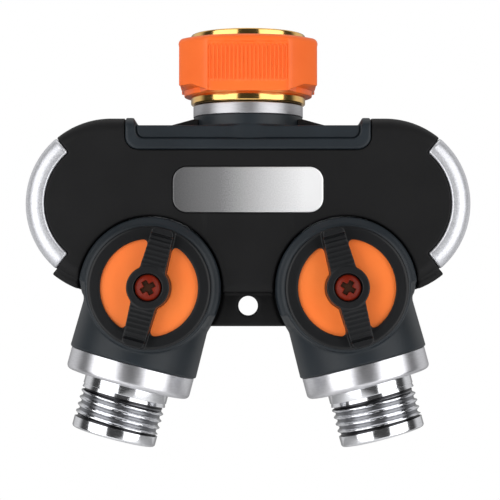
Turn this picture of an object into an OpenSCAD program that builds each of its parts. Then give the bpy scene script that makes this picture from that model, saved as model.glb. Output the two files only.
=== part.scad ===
// Two-way garden hose splitter with quarter-turn ball valves.
// Origin: centre of the inlet nut's mouth. +Z points up out of the mouth, +X to the
// right as seen from the lever side, and the levers face -Y.

/* [Inlet swivel] */
// Outer radius of the brass swivel nut
nut_r = 18.1; // [17.5:0.05:18.5]
// Height of the brass swivel nut
nut_h = 22.3; // [21:0.1:24]
// Crest radius of the inlet's female 3/4 inch hose thread
inlet_crest_r = 12.3; // [12:0.05:12.6]
// Root radius of the inlet's female thread
inlet_root_r = 13.6; // [13.2:0.05:13.9]
// Radius of the circle through the grip sleeve's twelve corners
grip_corner_r = 25; // [24:0.1:26]
// Distance from the axis to the four flat faces of the grip sleeve
grip_flat = 21.7; // [21:0.1:22]
// Height of the grip sleeve
grip_h = 17; // [15:0.1:18]

/* [Housing] */
// Radius of the housing's two round ends
end_r = 26.4; // [25:0.1:28]
// Distance of each end's centre from the middle
end_x = 42.4; // [41:0.1:45]
// Depth of the housing from front to back
housing_d = 35; // [34:0.1:38]
// Rounding of the housing's front and back edges
housing_fillet = 4.5; // [2:0.1:5]
// Wall thickness of the two shells
wall = 2.4; // [2:0.1:2.6]
// Half angle of the silver end trims
trim_half_angle = 50; // [45:1:56]
// Width of the end trims, seen from the front
trim_w = 6.1; // [5:0.1:6.4]
// Radius of the hole for hanging the splitter up
hang_hole_r = 3.1; // [2.5:0.1:3.5]

/* [Outlets] */
// Angle by which each outlet leans outwards
splay = 15; // [12:1:18]
// Distance of each valve's centre from the middle
hub_x = 30.1; // [29:0.1:31]
// Radius of the outlet sleeve at its top
sleeve_r = 20; // [19.8:0.05:20.2]
// Radius of the outlet sleeve at its lip
sleeve_lip_r = 20.45; // [20.2:0.05:20.6]
// Radius of the outlet's turned collar
collar_r = 19.9; // [19:0.05:20.2]
// Crest radius of the outlet's male 3/4 inch hose thread
outlet_crest_r = 13.45; // [13.3:0.05:13.5]
// Pitch of the hose threads, 11.5 turns to the inch
pitch = 2.209; // [2.2:0.001:2.22]

/* [Valves] */
// Radius of the valve ball
ball_r = 9.5; // [9:0.1:9.6]
// Radius of the water way through the ball
ball_bore_r = 6; // [5:0.1:6.1]
// Outer radius of the black knob ring
knob_r = 18.8; // [18:0.1:19]
// Inner radius of the knob ring, where the orange dial shows
window_r = 14.9; // [14:0.1:15]
// Half length of the lever
lever_reach = 18.3; // [17:0.1:18.5]

/* [Hidden] */
$fn = 96;
LEFT = -1;
RIGHT = 1;
eps = 0.01;

// Heights below the mouth
housing_z = -54;
hub_z = -80.2;
nut_lip_z = -18.2;
collar_top_z = -22.6;
shoulder_z = -26.2;
notch_z = -30;
saddle_groove_z = -34.1;
saddle_bottom_z = -37.3;
plate_z = -49.9;
web_bottom_z = -92;
hang_z = -85.6;

// Swivel
spigot_r = 10.75;
spigot_top_z = -15.3;
nut_lip_bore_r = spigot_r + 0.06;
thread_start = 0.5;
thread_land = 0.6;
inlet_turns = 6;
washer_h = 2.9;
washer_r = 12.9;
washer_hole_r = 7.9;
grip_top_z = -(nut_h - grip_h) / 2;
grip_panel_w = 24.6;
grip_panel_h = 11.1;
grip_recess = 0.7;
grip_ribs = 19;
grip_rib_pitch = 1.28;
grip_rib_r = 0.45;
clip_groove_z = [-17.8, -16.2];
clip_r = [10, 12.1];
clip_gap_angle = 36;

// Housing
half_d = housing_d / 2;
saddle_x = 38;
saddle_proud = 0.8;
saddle_rim_w = 3.2;
saddle_corner_r = 3.9;
saddle_cavity_y = 16.3;
saddle_cavity_z = -31.8;
neck_r = 17.3;
manifold_neck_r = 14;
end_cavity_r = 18.5;
cavity_top_z = -38;
trim_proud = 0.4;
plate_size = [46.3, 14];
plate_corner = 4.3;
plate_recess = 0.6;
plate_t = 1;
web_x = 15;
web_half_d = 9;
shell_bottom_z = -81.5;
lug_r = 28.2;
lug_angles = [50.5, 71];
screw_places = [[-49, -42], [49, -42], [-52, -63.5], [52, -63.5], [0, -72]];
screw_boss_r = 3.6;
screw_head_r = 2.7;
screw_head_h = 1.9;
screw_shank_r = 1.4;
screw_tip_y = -11;

// Manifold
cross_r = 12.5;
cross_bore_r = 8.5;
cross_half = 37;
inlet_bore_r = 8;
barrel_r = 15;
barrel_top = 27;
barrel_end = 23.6;
chamber_r = 11;
chamber_top = 9.7;
barrel_bore_r = 7;
boss_r = 8;
boss_front = 19.5;
stem_r = 4;
stem_bore_r = 4.05;
stem_pocket_r = 5.8;
stem_pocket_front = 12;

// Outlet, as distances down the outlet's axis from the valve's centre
sleeve_end = 24;
collar_end = 31;
thread_top = 35.4;
thread_lead = 1.1;
outlet_turns = 4;
land_start = 44.7;
land_end = 48.2;
land_r = 13.25;
outlet_root_r = 12.2;
fitting_spigot_r = 10.95;
fitting_bore_r = 7.2;
mouth_bore_r = 9.6;
fitting_ring_at = 20.5;
pod_r = 19.8;
pod_front = 21.3;
pod_back = 20.3;
flange_r = 21.7;
flange_front = 20.6;
flange_end = 3;
flange_foot = [8.4, 6];
shell_gap = 0.4;

// Valve, as distances towards the front from the valve's centre
seat_faces = [6.6, 9.6];
seat_r = 10.9;
seat_bore_r = 6.2;
ball_clearance = 0.03;
tang = [10, 2.9];
slot_floor = 7.3;
foot_r = 5.5;
foot = [9.65, 11.4];
stem_shoulder = 21.4;
stem_end = 28;
drive = 5.6;
stem_ring_u = [14, 17.2];
stem_groove_w = 1.7;
stem_groove_r = 2.5;
stem_ring_tube_r = 0.74;
dial_r = 15.3;
dial = [21.5, 22.9];
knob_back = 21.45;
knob_ring_front = 24;
lever_back = 23.1;
hub_r = 6.6;
hub_front = 31;
lever_half_w = [4.3, 3.4];
lever_steps = [5, 6.8, 10, 13.5, 16.3];
lever_fronts = [30.7, 30.2, 29.8, 29.3, 29.9];
lever_screw_head = [29.05, 30.8];
lever_screw_head_r = 4;
lever_screw_r = 1.95;
lever_screw_tip = 18.7;
stop_orbit = 17.2;
stop_pin_r = 1.1;
stop_groove_floor = 20.1;

// ---------- placing ----------

// Puts children on one outlet's axis: local -Z runs down the outlet from the valve.
module at_outlet(side) {
  translate([side * hub_x, 0, hub_z]) rotate([0, -side * splay, 0]) children();
}

// Turns children to face the front: local +Z comes towards the lever side.
module facing_front() {
  rotate([90, 0, 0]) children();
}

module at_valve_face(side) {
  at_outlet(side) facing_front() children();
}

// Turns a profile revolved about Z so that it is revolved about Y.
module about_y() {
  rotate([-90, 0, 0]) children();
}

module ring(outer, inner, low, high) {
  translate([0, 0, low]) difference() {
    cylinder(r = outer, h = high - low);
    translate([0, 0, -1]) cylinder(r = inner, h = high - low + 2);
  }
}

module o_ring(orbit, tube_r) {
  rotate_extrude() translate([orbit, 0]) circle(r = tube_r, $fn = 32);
}

module rounded_rect(size, corner) {
  half = size / 2;
  square([size[0], size[1] - 2 * corner], center = true);
  square([size[0] - 2 * corner, size[1]], center = true);
  for (x = [-1, 1], y = [-1, 1])
    translate([x * (half[0] - corner), y * (half[1] - corner)]) circle(r = corner);
}

// ---------- swivel ----------

// One side of a thread's outline: flat crests at crest_r with roots at root_r between.
function thread_points(crest_r, root_r, turns) = [
  for (i = [0:turns - 1], p = [
    [crest_r, i * pitch], [crest_r, i * pitch + thread_land],
    [root_r, i * pitch + (pitch + thread_land) / 2 - thread_land / 4],
    [root_r, i * pitch + (pitch + thread_land) / 2 + thread_land / 4]
  ]) if (!(i == turns - 1 && p[0] == root_r)) p
];
function thread_length(turns) = (turns - 1) * pitch + thread_land;

module swivel_nut() {
  groove = 0.5;
  chamfer = 0.6;
  bore_depth = thread_start + thread_length(inlet_turns);
  color("goldenrod") difference() {
    union() {
      translate([0, 0, -nut_h]) cylinder(r1 = nut_r - chamfer, r2 = nut_r, h = chamfer);
      translate([0, 0, chamfer - nut_h]) cylinder(r = nut_r, h = nut_h - 2 * chamfer);
      translate([0, 0, -chamfer]) cylinder(r1 = nut_r, r2 = nut_r - chamfer, h = chamfer);
    }
    translate([0, 0, grip_top_z - grip_h]) ring(nut_r + 1, nut_r - groove, 0, grip_h);
    // the threaded mouth, opening upwards
    rotate_extrude() polygon(concat(
      [[0, 1], [inlet_crest_r + thread_start + 1, 1]],
      [for (p = thread_points(inlet_crest_r, inlet_root_r, inlet_turns))
        [p[0], -thread_start - p[1]]],
      [[0, -bore_depth]]
    ));
    translate([0, 0, -15.6]) cylinder(r = inlet_root_r, h = 15.6 - bore_depth + eps);
    translate([0, 0, nut_lip_z]) cylinder(r = 12.6, h = -15.5 - nut_lip_z);
    translate([0, 0, -nut_h - 1]) cylinder(r = nut_lip_bore_r, h = nut_h);
  }
}

// A four-sided grip whose corners are cut to twelve, all on one circle.
module grip_sleeve() {
  side_y = sqrt(grip_corner_r * grip_corner_r - grip_flat * grip_flat);
  diagonal = grip_corner_r * cos(45);
  corners = [[side_y, grip_flat], [diagonal, diagonal], [grip_flat, side_y]];
  outline = [for (q = [0:3], i = [2:-1:0]) let(p = corners[i], a = 90 * q)
    [p[0] * cos(a) - p[1] * sin(a), p[0] * sin(a) + p[1] * cos(a)]];
  top_round = 5;
  bottom_z = grip_top_z - grip_h;
  chamfer_w = 4.2;
  chamfer_h = 2.6;
  color("darkorange") difference() {
    intersection() {
      translate([0, 0, bottom_z]) linear_extrude(grip_h) polygon(outline);
      union() {
        translate([0, 0, bottom_z])
          cylinder(r1 = grip_corner_r - chamfer_w, r2 = grip_corner_r, h = chamfer_h);
        translate([0, 0, bottom_z + chamfer_h])
          cylinder(r = grip_corner_r + 0.2, h = grip_h - chamfer_h - top_round);
        translate([0, 0, grip_top_z - top_round]) rotate_extrude() {
          square([grip_corner_r + 0.2 - top_round, top_round]);
          intersection() {
            translate([grip_corner_r + 0.2 - top_round, 0]) circle(r = top_round);
            square(grip_corner_r + 1);
          }
        }
      }
    }
    translate([0, 0, -nut_h]) cylinder(r = nut_r - 0.5, h = nut_h);
    for (q = [0:3]) rotate([0, 0, 90 * q]) grip_panel();
  }
}

// The recess of one ribbed panel, with its upright ribs left standing.
module grip_panel() {
  middle_z = grip_top_z - grip_h / 2;
  translate([-grip_panel_w / 2, -grip_flat - 1, middle_z - grip_panel_h / 2])
    difference() {
      cube([grip_panel_w, 1 + grip_recess, grip_panel_h]);
      for (i = [0:grip_ribs - 1])
        translate([grip_panel_w / 2 + (i - (grip_ribs - 1) / 2) * grip_rib_pitch,
          1 + grip_recess, -1])
          cylinder(r = grip_rib_r, h = grip_panel_h + 2, $fn = 16);
    }
}

module inlet_washer() {
  color("dimgray") translate([0, 0, spigot_top_z + 0.1])
    ring(washer_r, washer_hole_r, 0, washer_h);
}

// Open spring clip that keeps the nut on the inlet spigot.
module nut_retaining_ring() {
  start = 90 + clip_gap_angle / 2;
  color("silver") translate([0, 0, clip_groove_z[0] + 0.1])
    rotate([0, 0, start]) rotate_extrude(angle = 360 - clip_gap_angle)
      translate([clip_r[0], 0]) square([clip_r[1] - clip_r[0], 1.4]);
}

module inlet_collar() {
  color("silver") ring(neck_r + 0.05, spigot_r + 0.05, shoulder_z, collar_top_z);
}

// ---------- manifold ----------

module manifold() {
  color("lightsteelblue") difference() {
    union() {
      translate([0, 0, shoulder_z - 1])
        cylinder(r = spigot_r, h = spigot_top_z - shoulder_z + 1);
      translate([0, 0, housing_z + 4])
        cylinder(r = manifold_neck_r, h = shoulder_z - housing_z - 4);
      translate([-cross_half, 0, housing_z])
        rotate([0, 90, 0]) cylinder(r = cross_r, h = 2 * cross_half);
      for (side = [LEFT, RIGHT]) {
        at_outlet(side) translate([0, 0, -barrel_end])
          cylinder(r = barrel_r, h = barrel_end + barrel_top);
        at_valve_face(side) cylinder(r = boss_r, h = boss_front);
      }
    }
    ring(spigot_r + 1, clip_r[0] - 0.1, clip_groove_z[0], clip_groove_z[1]);
    translate([0, 0, housing_z]) cylinder(r = inlet_bore_r, h = -housing_z);
    translate([3 - cross_half, 0, housing_z])
      rotate([0, 90, 0]) cylinder(r = cross_bore_r, h = 2 * cross_half - 6);
    for (side = [LEFT, RIGHT]) {
      at_outlet(side) cylinder(r = barrel_bore_r, h = barrel_top - 1);
      at_outlet(side) translate([0, 0, -barrel_end - 1])
        cylinder(r = chamber_r, h = barrel_end + 1 + chamber_top);
      at_valve_face(side) cylinder(r = stem_bore_r, h = boss_front + 1);
      at_valve_face(side) cylinder(r = stem_pocket_r, h = stem_pocket_front);
    }
  }
}

// ---------- housing ----------

// Half outline of the housing's section: radius r, half depth d, rounded by f.
module end_section(r, d, f) {
  translate([0, -d]) square([r - f, 2 * d]);
  translate([0, f - d]) square([r, 2 * (d - f)]);
  for (y = [f - d, d - f]) translate([r - f, y]) circle(r = f);
}

// The housing's outer form: a bar with two round ends, rounded front and back.
module housing_form() {
  translate([0, 0, housing_z]) {
    for (side = [LEFT, RIGHT])
      translate([side * end_x, 0, 0]) about_y() rotate([0, 0, -side * 90])
        rotate_extrude(angle = 180) intersection() {
          end_section(end_r, half_d, housing_fillet);
          translate([0, -half_d]) square([end_r, housing_d]);
        }
    translate([-end_x, 0, 0]) rotate([90, 0, 90]) linear_extrude(2 * end_x)
      rounded_rect([housing_d, 2 * end_r], housing_fillet);
  }
}

// The web with the hanging hole between the two outlets.
module web_form() {
  translate([-web_x, -web_half_d, web_bottom_z])
    cube([2 * web_x, 2 * web_half_d, housing_z - end_r / 2 - web_bottom_z]);
  translate([-web_x, 2 - half_d, shell_bottom_z])
    cube([2 * web_x, housing_d - 4, -shell_bottom_z + housing_z - end_r / 2]);
}

// The lugs that carry the housing's outline on below the end trims.
module lug_form() {
  for (side = [LEFT, RIGHT])
    translate([side * end_x, 0, housing_z]) about_y()
      rotate([0, 0, side == RIGHT ? lug_angles[0] : 180 - lug_angles[1]])
        rotate_extrude(angle = lug_angles[1] - lug_angles[0])
          translate([end_cavity_r, 3 - half_d])
            square([lug_r - end_cavity_r, housing_d - 6]);
}

module trim_arc(side) {
  translate([side * end_x, 0, housing_z]) about_y()
    rotate([0, 0, side == RIGHT ? -trim_half_angle : 180 - trim_half_angle])
      rotate_extrude(angle = 2 * trim_half_angle) children();
}

// What both shells leave free: the valve pods, the saddle, the trims, the manifold.
module shell_cuts() {
  gap = 0.15;
  translate([0, 0, housing_z]) {
    for (side = [LEFT, RIGHT])
      translate([side * end_x, wall - half_d, 0]) about_y()
        cylinder(r = end_cavity_r, h = housing_d - 2 * wall);
    translate([-end_x, wall - half_d, wall - end_r])
      cube([2 * end_x, housing_d - 2 * wall, cavity_top_z - housing_z - wall + end_r]);
  }
  for (side = [LEFT, RIGHT]) {
    at_valve_face(side) intersection() {
      translate([0, 0, -30]) cylinder(r = flange_r + shell_gap, h = 60);
      translate([-30, -flange_foot[0] - shell_gap, -31]) cube([60, 60, 62]);
    }
    at_valve_face(side) translate([0, 0, -30]) cylinder(r = pod_r + shell_gap, h = 60);
    at_outlet(side) translate([0, 0, -30]) cylinder(r = sleeve_r + shell_gap, h = 30);
    trim_arc(side) difference() {
      translate([end_r - trim_w - gap, -half_d - 1])
        square([trim_w + 1, housing_d + 2]);
      translate([0, wall + gap - half_d])
        square([end_r - wall - gap, housing_d - 2 * (wall + gap)]);
    }
  }
  translate([-saddle_x - gap, -half_d - 2, saddle_bottom_z - gap]) difference() {
    cube([2 * (saddle_x + gap), housing_d + 4, 20]);
    translate([-1, 2 + half_d - saddle_cavity_y + gap, -1])
      cube([2 * saddle_x + 3, 2 * (saddle_cavity_y - gap),
        saddle_cavity_z - saddle_bottom_z + 1]);
  }
  translate([0, 0, cavity_top_z - eps]) cylinder(r = manifold_neck_r + gap, h = 20);
  facing_front() translate([0, hang_z, -20]) cylinder(r = hang_hole_r, h = 40);
}

module screw_bosses() {
  for (p = screw_places)
    facing_front() translate([p[0], p[1], wall / 2 - half_d])
      cylinder(r = screw_boss_r, h = housing_d - wall);
}

module screw_bores() {
  for (p = screw_places) facing_front() translate([p[0], p[1], 0]) {
    translate([0, 0, -half_d]) cylinder(r = screw_shank_r + 0.1, h = half_d - screw_tip_y);
    translate([0, 0, -half_d - 1]) cylinder(r = screw_head_r + 0.3, h = screw_head_h + 2);
  }
}

module shell_solid() {
  difference() {
    union() {
      housing_form();
      web_form();
      lug_form();
    }
    shell_cuts();
  }
  screw_bosses();
}

module front_shell() {
  color([0.12, 0.12, 0.12]) difference() {
    intersection() {
      shell_solid();
      translate([-100, -50, -100]) cube([200, 50, 100]);
    }
    screw_bores();
    translate([0, plate_recess - half_d, plate_z]) facing_front()
      linear_extrude(5) rounded_rect(plate_size + [0.2, 0.2], plate_corner);
  }
}

module rear_shell() {
  color([0.14, 0.14, 0.14]) difference() {
    intersection() {
      shell_solid();
      translate([-100, 0, -100]) cube([200, 50, 100]);
    }
    screw_bores();
  }
}

module housing_screws() {
  color("silver") for (p = screw_places) facing_front() translate([p[0], p[1], 0]) {
    head_z = screw_head_h - half_d + 1;
    difference() {
      translate([0, 0, head_z - screw_head_h]) cylinder(r = screw_head_r, h = screw_head_h);
      for (turn = [0, 90]) rotate([0, 0, turn])
        translate([-1.6, -0.35, head_z - screw_head_h - 1]) cube([3.2, 0.7, 2]);
    }
    translate([0, 0, head_z]) cylinder(r = screw_shank_r, h = -screw_tip_y - head_z);
  }
}

// Soft-touch saddle over the top of both shells, with a raised rim along its edge.
module top_saddle() {
  d = half_d + saddle_proud;
  inner_x = saddle_x - saddle_rim_w;
  top_z = housing_z + end_r;
  color([0.2, 0.23, 0.25]) difference() {
    union() {
      intersection() {
        translate([-saddle_x, 0, 0]) rotate([90, 0, 90]) linear_extrude(2 * saddle_x)
          translate([0, top_z - d]) rounded_rect([2 * d, 2 * d], housing_fillet);
        facing_front() translate([0, saddle_bottom_z / 2, -d - 1])
          linear_extrude(2 * d + 2)
            rounded_rect([2 * saddle_x, -saddle_bottom_z], saddle_corner_r);
      }
      translate([0, 0, notch_z - 3]) cylinder(r = neck_r, h = shoulder_z - notch_z + 3);
      neck_shoulders();
    }
    // the notch in the top and the lowered panel inside the rim, clear of the neck
    difference() {
      translate([-inner_x, -d - 1, notch_z]) cube([2 * inner_x, 2 * d + 2, 10]);
      translate([0, 0, notch_z - 1]) cylinder(r = neck_r, h = 12);
      neck_shoulders();
    }
    for (front = [-1, 1])
      translate([-inner_x, front * (d - saddle_proud / 2 + 0.5) - (saddle_proud / 2 + 0.5),
        saddle_groove_z])
        cube([2 * inner_x, saddle_proud + 1, 20]);
    translate([-saddle_x - 1, -saddle_cavity_y, saddle_bottom_z - 1])
      cube([2 * saddle_x + 2, 2 * saddle_cavity_y, saddle_cavity_z - saddle_bottom_z + 1]);
    translate([0, 0, saddle_bottom_z]) cylinder(r = manifold_neck_r + 0.15, h = 30);
  }
}

// The sloped shoulders that run from the neck down to the notch's floor.
module neck_shoulders() {
  outer_x = 27.4;
  inner_x = neck_r - 1;
  rise = 2.8;
  facing_front() translate([0, 0, -8]) linear_extrude(16)
    polygon([[-outer_x, notch_z - eps], [-inner_x, notch_z + rise],
      [inner_x, notch_z + rise], [outer_x, notch_z - eps]]);
}

module end_trim(side) {
  d = half_d + trim_proud;
  color("silver") trim_arc(side) difference() {
    intersection() {
      end_section(end_r, d, housing_fillet);
      translate([end_r - trim_w, -d - 1]) square([trim_w + 1, 2 * d + 2]);
    }
    translate([0, wall - half_d]) square([end_r - wall, housing_d - 2 * wall]);
  }
}

module name_plate() {
  color("gainsboro") translate([0, plate_recess - half_d, plate_z]) facing_front()
    linear_extrude(plate_t) rounded_rect(plate_size, plate_corner);
}

// ---------- outlets ----------

// Soft-touch pod and outlet sleeve, moulded over one valve barrel.
module valve_sleeve(side) {
  color([0.2, 0.23, 0.26]) difference() {
    union() {
      at_outlet(side) translate([0, 0, -sleeve_end])
        cylinder(r1 = sleeve_lip_r, r2 = sleeve_r, h = sleeve_end);
      at_valve_face(side) translate([0, 0, -pod_back])
        cylinder(r = pod_r, h = pod_front + pod_back);
      at_valve_face(side) intersection() {
        translate([0, 0, -pod_back + 1]) cylinder(r = flange_r, h = pod_back + flange_front - 1);
        // below the hub the flange slopes back into the round sleeve
        rotate([90, 0, 90]) translate([0, 0, -30]) linear_extrude(60)
          polygon([[-flange_end, -pod_back], [-flange_foot[0], -flange_foot[1]],
            [-flange_foot[0], flange_foot[1]], [-flange_end, flange_front], [30, flange_front],
            [30, -pod_back]]);
      }
    }
    at_outlet(side) translate([0, 0, -sleeve_end - 1])
      cylinder(r = barrel_r + 0.1, h = 60);
    at_valve_face(side) {
      cylinder(r = boss_r + 0.2, h = 30);
      translate([0, 0, stop_groove_floor]) stop_groove();
    }
  }
}

// A quarter-turn groove for the knob's stop pin, from upper left to upper right.
module stop_groove() {
  w = stop_pin_r + 0.15;
  rotate([0, 0, 45]) rotate_extrude(angle = 90)
    translate([stop_orbit - w, 0]) square([2 * w, 3]);
  for (a = [45, 135]) rotate([0, 0, a]) translate([stop_orbit, 0, 0])
    cylinder(r = w, h = 3, $fn = 32);
}

// Turned fitting: screwed spigot, collar, neck, male hose thread and end land.
module outlet_fitting(side) {
  round_over = 1;
  groove_w = 1.3;
  points = thread_points(outlet_crest_r, outlet_root_r, outlet_turns);
  profile = concat(
    [[fitting_bore_r, -chamber_top - 0.1], [fitting_spigot_r, -chamber_top - 0.1],
      [fitting_spigot_r, groove_w - fitting_ring_at], [9.2, groove_w - fitting_ring_at],
      [9.2, -groove_w - fitting_ring_at], [fitting_spigot_r, -groove_w - fitting_ring_at],
      [fitting_spigot_r, -sleeve_end - 0.05], [collar_r, -sleeve_end - 0.05],
      [collar_r, round_over - collar_end], [collar_r - round_over, -collar_end],
      [land_r, -collar_end], [land_r, 0.5 - thread_top],
      [outlet_root_r, -thread_top]],
    [for (p = points) [p[0], -thread_top - thread_lead - p[1]]],
    [[outlet_root_r, 0.4 - land_start], [outlet_root_r, -land_start],
      [land_r, -land_start - 0.2], [land_r, 0.8 - land_end],
      [land_r - 0.8, -land_end], [mouth_bore_r, -land_end],
      [mouth_bore_r, 3 - thread_top], [fitting_bore_r, 3 - collar_end]]
  );
  color("gainsboro") at_outlet(side) rotate_extrude() polygon(profile);
}

module fitting_o_ring(side) {
  color("black") at_outlet(side) translate([0, 0, -fitting_ring_at]) o_ring(10.1, 0.87);
}

// A plastic seat with a spherical face; along is 1 upstream and -1 downstream.
module ball_seat(side, along) {
  low = along > 0 ? seat_faces[0] : -seat_faces[1];
  color("ivory") at_outlet(side) difference() {
    ring(seat_r, seat_bore_r, low, low + seat_faces[1] - seat_faces[0]);
    sphere(r = ball_r + ball_clearance);
  }
}

// ---------- valve parts that turn ----------

module valve_ball(side) {
  color("silver") difference() {
    at_outlet(side) difference() {
      sphere(r = ball_r);
      translate([0, 0, -ball_r - 1]) cylinder(r = ball_bore_r, h = 2 * ball_r + 2);
    }
    at_valve_face(side) translate([-tang[1] / 2 - 0.1, -ball_r, slot_floor])
      cube([tang[1] + 0.2, 2 * ball_r, 5]);
  }
}

module valve_stem(side) {
  color("goldenrod") at_valve_face(side) difference() {
    union() {
      intersection() {
        translate([-tang[1] / 2, -tang[0] / 2, slot_floor + 0.1])
          cube([tang[1], tang[0], foot[0] - slot_floor]);
        cylinder(r = foot_r - 0.3, h = 20);
      }
      translate([0, 0, foot[0]]) cylinder(r = foot_r, h = foot[1] - foot[0]);
      translate([0, 0, foot[1] - eps]) cylinder(r = stem_r, h = stem_shoulder - foot[1]);
      intersection() {
        translate([-drive / 2, -drive / 2, stem_shoulder - 1])
          cube([drive, drive, stem_end - stem_shoulder + 1]);
        cylinder(r = stem_r - 0.1, h = stem_end + 1);
      }
    }
    for (u = stem_ring_u)
      ring(stem_r + 1, stem_groove_r, u - stem_groove_w / 2, u + stem_groove_w / 2);
    translate([0, 0, lever_screw_tip - 0.4])
      cylinder(r = lever_screw_r + 0.05, h = 20);
  }
}

module stem_o_rings(side) {
  color("black") at_valve_face(side) for (u = stem_ring_u)
    translate([0, 0, u]) o_ring(stem_groove_r + 0.02 + stem_ring_tube_r, stem_ring_tube_r);
}

module stem_washer(side) {
  color("ivory") at_valve_face(side)
    ring(stem_pocket_r - 0.1, stem_r + 0.05, foot[1] + 0.05, stem_pocket_front - 0.05);
}

module dial_disc(side) {
  color("darkorange") at_valve_face(side) ring(dial_r, hub_r + 0.1, dial[0], dial[1]);
}

// Ring, hub and stepped two-armed lever in one moulding.
module lever_knob(side) {
  socket = drive + 0.1;
  color([0.1, 0.1, 0.11]) at_valve_face(side) difference() {
    union() {
      ring(knob_r, window_r, dial[1] + 0.1, knob_ring_front);
      ring(knob_r, dial_r + 0.1, knob_back, dial[1] + 0.2);
      translate([0, 0, knob_back]) cylinder(r = hub_r, h = hub_front - knob_back);
      for (turn = [0, 180]) rotate([0, 0, turn]) lever_arm();
      rotate([0, 0, 135]) translate([stop_orbit, 0, stop_groove_floor + 0.2])
        cylinder(r = stop_pin_r, h = knob_back - stop_groove_floor, $fn = 32);
    }
    translate([-socket / 2, -socket / 2, knob_back - 1])
      cube([socket, socket, stem_end - knob_back + 1.1]);
    cylinder(r = lever_screw_r + 0.2, h = hub_front + 1);
    translate([0, 0, lever_screw_head[0] - 0.05])
      cylinder(r = lever_screw_head_r + 0.3, h = 5);
  }
}

// Half the lever's width at distance y from its hub.
function lever_w(y) =
  lever_half_w[0] + (lever_half_w[1] - lever_half_w[0]) * y / lever_reach;

module lever_arm() {
  ends = concat([for (i = [1:len(lever_steps) - 1]) lever_steps[i]], [lever_reach]);
  for (i = [0:len(lever_steps) - 1]) {
    y0 = i == 0 ? 0 : lever_steps[i];
    translate([0, 0, lever_back]) linear_extrude(lever_fronts[i] - lever_back)
      polygon([[-lever_w(y0), y0], [lever_w(y0), y0],
        [lever_w(ends[i]), ends[i]], [-lever_w(ends[i]), ends[i]]]);
  }
}

module lever_screw(side) {
  color([0.7, 0.22, 0.12]) at_valve_face(side) difference() {
    union() {
      translate([0, 0, lever_screw_head[0]])
        cylinder(r = lever_screw_head_r, h = lever_screw_head[1] - lever_screw_head[0]);
      translate([0, 0, lever_screw_tip])
        cylinder(r = lever_screw_r, h = lever_screw_head[0] - lever_screw_tip + eps);
    }
    for (turn = [0, 90]) rotate([0, 0, turn])
      translate([-2.2, -0.5, lever_screw_head[1] - 1.3]) cube([4.4, 1, 3]);
  }
}

swivel_nut();
grip_sleeve();
inlet_washer();
nut_retaining_ring();
inlet_collar();
manifold();
front_shell();
rear_shell();
top_saddle();
end_trim(LEFT);  // left_end_trim
end_trim(RIGHT);  // right_end_trim
name_plate();
housing_screws();
valve_sleeve(LEFT);  // left_valve_sleeve
outlet_fitting(LEFT);  // left_outlet_fitting
fitting_o_ring(LEFT);  // left_fitting_o_ring
ball_seat(LEFT, 1);  // left_upstream_seat
ball_seat(LEFT, -1);  // left_downstream_seat
valve_ball(LEFT);  // left_valve_ball
valve_stem(LEFT);  // left_valve_stem
stem_o_rings(LEFT);  // left_stem_o_rings
stem_washer(LEFT);  // left_stem_washer
dial_disc(LEFT);  // left_dial_disc
lever_knob(LEFT);  // left_lever_knob
lever_screw(LEFT);  // left_lever_screw
valve_sleeve(RIGHT);  // right_valve_sleeve
outlet_fitting(RIGHT);  // right_outlet_fitting
fitting_o_ring(RIGHT);  // right_fitting_o_ring
ball_seat(RIGHT, 1);  // right_upstream_seat
ball_seat(RIGHT, -1);  // right_downstream_seat
valve_ball(RIGHT);  // right_valve_ball
valve_stem(RIGHT);  // right_valve_stem
stem_o_rings(RIGHT);  // right_stem_o_rings
stem_washer(RIGHT);  // right_stem_washer
dial_disc(RIGHT);  // right_dial_disc
lever_knob(RIGHT);  // right_lever_knob
lever_screw(RIGHT);  // right_lever_screw
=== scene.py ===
"""The looks of the hose splitter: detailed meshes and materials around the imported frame."""
import math

import bmesh
import bpy
import numpy as np
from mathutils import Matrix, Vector


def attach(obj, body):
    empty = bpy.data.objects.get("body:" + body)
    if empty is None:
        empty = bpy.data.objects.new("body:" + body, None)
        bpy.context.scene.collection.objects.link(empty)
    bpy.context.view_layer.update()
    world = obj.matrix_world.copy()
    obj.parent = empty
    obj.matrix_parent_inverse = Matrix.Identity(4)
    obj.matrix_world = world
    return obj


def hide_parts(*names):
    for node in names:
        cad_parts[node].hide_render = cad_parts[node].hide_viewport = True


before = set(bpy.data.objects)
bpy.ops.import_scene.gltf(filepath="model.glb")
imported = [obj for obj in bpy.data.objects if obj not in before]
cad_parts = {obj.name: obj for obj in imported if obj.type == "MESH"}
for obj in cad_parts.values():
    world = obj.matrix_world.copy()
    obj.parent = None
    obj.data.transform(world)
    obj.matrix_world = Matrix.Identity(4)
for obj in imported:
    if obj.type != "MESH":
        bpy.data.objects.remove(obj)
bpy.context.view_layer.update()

# ---------- sizes in millimetres, in the frame's axes ----------

MM = 0.001
LEFT, RIGHT = -1, 1
SIDE_NAME = {LEFT: "left", RIGHT: "right"}
# the hose thread's pitch
PITCH = 2.209
# where each valve's stem lies, and how far its outlet leans outwards
HUB_X, HUB_Z = 30.1, -80.2
SPLAY = math.radians(15)
# the housing: a bar with round ends
HOUSING_Z, END_X, END_R = -54.0, 42.4, 26.4
HALF_DEPTH, FILLET = 17.5, 4.5
WALL, END_CAVITY_R, CAVITY_TOP = 2.4, 18.5, -38.0
TRIM_ANGLE, TRIM_INNER_R = math.radians(50), 20.3
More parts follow.
